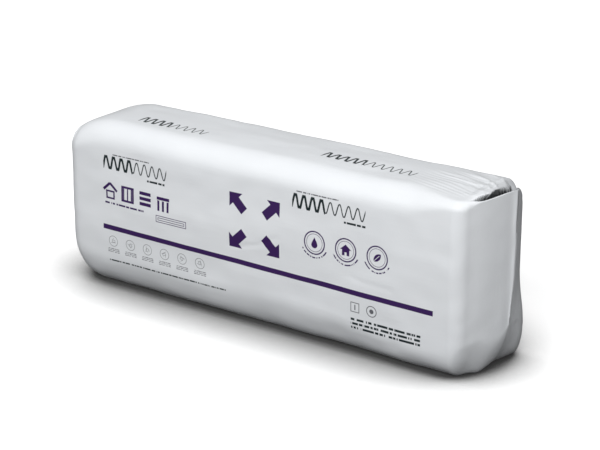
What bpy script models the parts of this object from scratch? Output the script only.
"""A film-wrapped pack of glass wool slabs, standing on its long narrow side.

Metres, +Z up. X runs along the slabs, the printed front faces -Y, and the origin is on the floor
under the middle of the pack. Four slabs stand side by side, squeezed together, inside one sleeve of
polythene film. Beyond the slabs the sleeve's front and back panels come together in an upright seam,
and its top panel is tucked down between them as a gusset.
"""

import math

import bmesh
import bpy
from mathutils import Vector

# Slabs, as the film squeezes them.
SLAB_LENGTH = 1.200
SLAB_HEIGHT = 0.4495
SLAB_THICKNESS = 0.0670
SLAB_COUNT = 4
SLAB_GAP = 0.0006

# Film.
FILM_THICKNESS = 0.0002
FILM_CLEARANCE = 0.0003

# Soft edges and soft faces of the squeezed stack.
LONG_EDGE_RADIUS = 0.056
BASE_EDGE_DEPTH = 0.062
BASE_EDGE_HEIGHT = 0.125
UPRIGHT_EDGE_RADIUS = 0.047
SIDE_BULGE = 0.004
TOP_CROWN = 0.005

# Near the right-hand end the long top edge at the front is firmer.
FIRM_EDGE_RADIUS = 0.036
FIRM_EDGE_REACH = 0.180
FIRM_EDGE_RUN_OUT = 0.020

# How each corner of the pack is rounded, seen from the front: how far in from the slabs' end it
# starts, its reach along X from there, and its fall in Z.
LEFT_TOP_CORNER = (0.114, 0.190, 0.165)
LEFT_BASE_CORNER = (0.072, 0.120, 0.120)
RIGHT_TOP_FRONT_CORNER = (0.020, 0.090, 0.004)
RIGHT_TOP_BACK_CORNER = (0.030, 0.100, 0.022)
RIGHT_BASE_CORNER = (0.015, 0.082, 0.190)
SLAB_END_CORNER = (0.030, 0.030, 0.030)

# How far round its quarter circle a corner goes before the seam cuts it off.
CORNER_SWEEP = math.sin(math.radians(76))

# Sleeve ends, seen from above: each flap is a curve that leaves the slabs where their upright edges
# start to turn, runs straight on for its lead, and comes back to the seam from its shoulder.
FLAP_REACH = 0.062
FLAP_LEAD = 0.058
FLAP_SHOULDER = (0.010, 0.085)
SEAM_WIDTH = 0.012
SEAM_THICKNESS = 0.003
GUSSET_DEPTH = 0.070
RIM_RISE = 0.010

# Fineness of the mesh.
ARC_STEPS = 4
SIDE_STEPS = 4
TOP_STEPS = 6
BASE_STEPS = 4
EDGE_TURN_STEPS = 4
FLAP_STEPS = 10
MIDDLE_STEPS = 4

# Where the loops between the ends stand, as distances in from each end of the slabs.
LEFT_INSETS = (0.060, 0.080, 0.110, 0.200)
RIGHT_INSETS = (0.060, 0.080, 0.120, 0.170, 0.240)

# Sizes that follow from those above.
SKIN = FILM_THICKNESS + FILM_CLEARANCE
STACK_DEPTH = SLAB_COUNT * SLAB_THICKNESS + (SLAB_COUNT - 1) * SLAB_GAP
HALF_LENGTH = SLAB_LENGTH / 2
HALF_DEPTH = STACK_DEPTH / 2
EDGE_START = HALF_LENGTH - UPRIGHT_EDGE_RADIUS

# A rounded edge takes at most this share of the half depth, where the ends grow thin.
EDGE_LIMIT = 0.6

FILM_COLOUR = (0.68, 0.69, 0.71, 1.0)
WOOL_COLOUR = (0.72, 0.62, 0.36, 1.0)


def quarter_fall(share, fall):
    """How far a round corner has come down at this share of its reach."""
    return fall * (1 - math.sqrt(1 - share * share))


def corner_fall(x, corner, sweep=CORNER_SWEEP):
    """How far a corner of the pack has come down at x."""
    inset, reach, fall = corner
    share = (abs(x) - HALF_LENGTH + inset) / reach
    return quarter_fall(min(max(share, 0.0), sweep), fall)


def smooth_step(value, low, high):
    """0 below low, 1 above high, and a smooth rise between them."""
    share = min(max((value - low) / (high - low), 0.0), 1.0)
    return share * share * (3 - 2 * share)


def front_edge_radius(x):
    """The radius of the long top edge at the front at x."""
    firm = smooth_step(x, HALF_LENGTH - FIRM_EDGE_REACH, HALF_LENGTH - FIRM_EDGE_RUN_OUT)
    return LONG_EDGE_RADIUS + (FIRM_EDGE_RADIUS - LONG_EDGE_RADIUS) * firm


def station(x, half_depth, grow=0.0, dive=0.0, rim=0.0):
    """One loop round the pack at x. It stands grow outside the stack of slabs."""
    if x < 0:
        fall_front = fall_back = corner_fall(x, LEFT_TOP_CORNER)
        rise = corner_fall(x, LEFT_BASE_CORNER)
    else:
        fall_front = corner_fall(x, RIGHT_TOP_FRONT_CORNER)
        fall_back = corner_fall(x, RIGHT_TOP_BACK_CORNER)
        rise = corner_fall(x, RIGHT_BASE_CORNER)
    own_fall = 0.0 if grow else corner_fall(x, SLAB_END_CORNER, 1.0)
    top = SKIN + SLAB_HEIGHT + grow + rim - own_fall
    foot = min(BASE_EDGE_DEPTH + grow, EDGE_LIMIT * half_depth)
    return {
        "x": x,
        "half_depth": half_depth,
        "top_front": top - fall_front,
        "top_back": top - fall_back,
        "base": SKIN - grow + rise + own_fall,
        "front_radius": min(front_edge_radius(x) + grow, EDGE_LIMIT * half_depth),
        "back_radius": min(LONG_EDGE_RADIUS + grow, EDGE_LIMIT * half_depth),
        "foot_depth": foot,
        "foot_height": foot * (BASE_EDGE_HEIGHT + grow) / (BASE_EDGE_DEPTH + grow),
        "dive": dive,
        "fullness": min(half_depth / HALF_DEPTH, 1.0) ** 2,
    }


def arc_points(y, z, deep, high, start):
    """Points clockwise round a quarter of an ellipse about y, z, from the angle start."""
    for step in range(ARC_STEPS + 1):
        angle = start - math.pi / 2 * step / ARC_STEPS
        yield y + deep * math.cos(angle), z + high * math.sin(angle)


def sharp_section(at):
    """The loop's (y, z) points before its faces bulge: up the front, over, down the back, under."""
    half, base = at["half_depth"], at["base"]
    front, back = at["front_radius"], at["back_radius"]
    foot, rise = at["foot_depth"], at["foot_height"]
    low = base + rise
    high_front = at["top_front"] - front
    high_back = at["top_back"] - back
    section = list(arc_points(-half + foot, low, foot, rise, 1.5 * math.pi))
    for step in range(1, SIDE_STEPS):
        section.append((-half, low + (high_front - low) * step / SIDE_STEPS))
    section += arc_points(-half + front, high_front, front, front, math.pi)
    for step in range(1, TOP_STEPS):
        share = step / TOP_STEPS
        across = -half + front + (2 * half - front - back) * share
        level = at["top_front"] + (at["top_back"] - at["top_front"]) * share
        section.append((across, level - at["dive"] * (1 - (2 * share - 1) ** 4)))
    section += arc_points(half - back, high_back, back, back, 0.5 * math.pi)
    for step in range(1, SIDE_STEPS):
        section.append((half, high_back + (low - high_back) * step / SIDE_STEPS))
    section += arc_points(half - foot, low, foot, rise, 0.0)
    for step in range(1, BASE_STEPS):
        section.append(((1 - 2 * step / BASE_STEPS) * (half - foot), base))
    return section


def loop_points(at):
    """The loop's points in space, with the sides bulged and the top crowned."""
    height = at["top_front"] - at["base"]
    points = []
    for y, z in sharp_section(at):
        across = min(abs(y) / at["half_depth"], 1.0)
        up = min(max((z - at["base"]) / height, 0.0), 1.0)
        bulge = SIDE_BULGE * at["fullness"] * math.sin(math.pi * up) * across**3
        crown = TOP_CROWN * at["fullness"] * (1 - across * across) if up > 0.5 else 0.0
        points.append(Vector((at["x"], y + math.copysign(bulge, y), z + crown)))
    return points


def tube(name, stations, capped):
    """A mesh object skinned over the loops of these stations, closed at its ends if capped."""
    loops = [loop_points(at) for at in stations]
    around = len(loops[0])
    mesh = bmesh.new()
    bmesh.ops.create_grid(mesh, x_segments=len(loops) - 1, y_segments=around, size=0.5)
    for vert in mesh.verts:
        along = round((vert.co.x + 0.5) * (len(loops) - 1))
        about = round((vert.co.y + 0.5) * around)
        vert.co = loops[along][about % around]
    bmesh.ops.remove_doubles(mesh, verts=mesh.verts, dist=0.00001)
    if capped:
        bmesh.ops.holes_fill(mesh, edges=[edge for edge in mesh.edges if edge.is_boundary])
    bmesh.ops.recalc_face_normals(mesh, faces=mesh.faces)
    return mesh_object(name, mesh)


def mesh_object(name, mesh):
    """An object that holds this bmesh, which is freed."""
    data = bpy.data.meshes.new(name)
    mesh.to_mesh(data)
    mesh.free()
    return bpy.data.objects.new(name, data)


def body_places():
    """Where the loops of the straight body stand along X, from left to right."""
    left = [-HALF_LENGTH + inset for inset in LEFT_INSETS]
    right = [HALF_LENGTH - inset for inset in reversed(RIGHT_INSETS)]
    gap = right[0] - left[-1]
    middle = [left[-1] + gap * step / MIDDLE_STEPS for step in range(1, MIDDLE_STEPS)]
    return left + middle + right


def stack_stations():
    """Loops of the whole squeezed stack of slabs, with round upright edges and flat ends."""
    ends = []
    for step in range(EDGE_TURN_STEPS + 1):
        turn = math.pi / 2 * step / EDGE_TURN_STEPS
        x = EDGE_START + UPRIGHT_EDGE_RADIUS * math.sin(turn)
        ends.append((x, HALF_DEPTH - UPRIGHT_EDGE_RADIUS * (1 - math.cos(turn))))
    left = [station(-x, half) for x, half in reversed(ends)]
    body = [station(x, HALF_DEPTH) for x in body_places()]
    right = [station(x, half) for x, half in ends]
    return left + body + right


def flap_point(share):
    """Where a flap stands at this share of the way to the seam: (x, half depth)."""
    seam = Vector((HALF_LENGTH + FLAP_REACH, SEAM_THICKNESS / 2))
    start = Vector((EDGE_START, HALF_DEPTH + SKIN))
    lead = start + Vector((FLAP_LEAD, 0.0))
    shoulder = Vector((seam.x - FLAP_SHOULDER[0], FLAP_SHOULDER[1]))
    there, back = share, 1 - share
    weights = (back**3, 3 * back * back * there, 3 * back * there * there, there**3)
    point = sum((w * p for w, p in zip(weights, (start, lead, shoulder, seam))), Vector((0, 0)))
    return point.x, point.y


def end_stations(side):
    """Loops of the sleeve beyond its straight body, outwards, at the end on this side (-1 or 1)."""
    loops = []
    for step in range(FLAP_STEPS + 1):
        x, half = flap_point(step / FLAP_STEPS)
        past = smooth_step(x, HALF_LENGTH, HALF_LENGTH + FLAP_REACH)
        dive = GUSSET_DEPTH * max(math.sin(math.pi * past), 0.0)
        loops.append(station(side * x, half, SKIN, dive, RIM_RISE * past))
    seam_end = HALF_LENGTH + FLAP_REACH + SEAM_WIDTH
    loops.append(station(side * seam_end, SEAM_THICKNESS / 2, SKIN, 0.0, RIM_RISE))
    return loops


def film_stations():
    """Loops of the sleeve, from the left-hand seam over the body to the right-hand seam."""
    body = [station(x, HALF_DEPTH + SKIN, SKIN) for x in body_places()]
    return end_stations(-1)[::-1] + body + end_stations(1)


def cut_slab(stack, index):
    """One slab: the slice of the stack between two upright planes, closed where it was cut."""
    low = -HALF_DEPTH + index * (SLAB_THICKNESS + SLAB_GAP)
    cuts = []
    if index > 0:
        cuts.append((low, -1))
    if index < SLAB_COUNT - 1:
        cuts.append((low + SLAB_THICKNESS, 1))
    mesh = bmesh.new()
    mesh.from_mesh(stack.data)
    for y, outward in cuts:
        bmesh.ops.bisect_plane(
            mesh,
            geom=mesh.verts[:] + mesh.edges[:] + mesh.faces[:],
            dist=0.000001,
            plane_co=(0, y, 0),
            plane_no=(0, outward, 0),
            clear_outer=True,
        )
        bmesh.ops.holes_fill(mesh, edges=[edge for edge in mesh.edges if edge.is_boundary])
    bmesh.ops.recalc_face_normals(mesh, faces=mesh.faces)
    return mesh_object(f"slab_{index + 1}", mesh)


def material(name, colour, roughness):
    """A plain material of this colour and roughness."""
    made = bpy.data.materials.new(name)
    made.use_nodes = True
    shader = made.node_tree.nodes["Principled BSDF"]
    shader.inputs["Base Color"].default_value = colour
    shader.inputs["Roughness"].default_value = roughness
    shader.inputs["Metallic"].default_value = 0.0
    return made


def build_film():
    """The sleeve: an open tube of film with its wall on the inside."""
    film = tube("film_wrap", film_stations(), capped=False)
    wall = film.modifiers.new("film thickness", "SOLIDIFY")
    wall.thickness = FILM_THICKNESS
    wall.offset = -1
    film.data.materials.append(material("film", FILM_COLOUR, 0.35))
    film.data.shade_smooth()
    return film


def build_slabs():
    """The slabs, sliced side by side from one squeezed stack."""
    wool = material("glass_wool", WOOL_COLOUR, 0.95)
    stack = tube("stack", stack_stations(), capped=True)
    slabs = [cut_slab(stack, index) for index in range(SLAB_COUNT)]
    for slab in slabs:
        slab.data.materials.append(wool)
    bpy.data.objects.remove(stack)
    return slabs


def build():
    """Clears the scene and makes the pack in a collection of its own."""
    for obj in list(bpy.data.objects):
        bpy.data.objects.remove(obj)
    pack = bpy.data.collections.new("glass_wool_slab_pack")
    bpy.context.scene.collection.children.link(pack)
    for piece in [build_film(), *build_slabs()]:
        pack.objects.link(piece)


build()
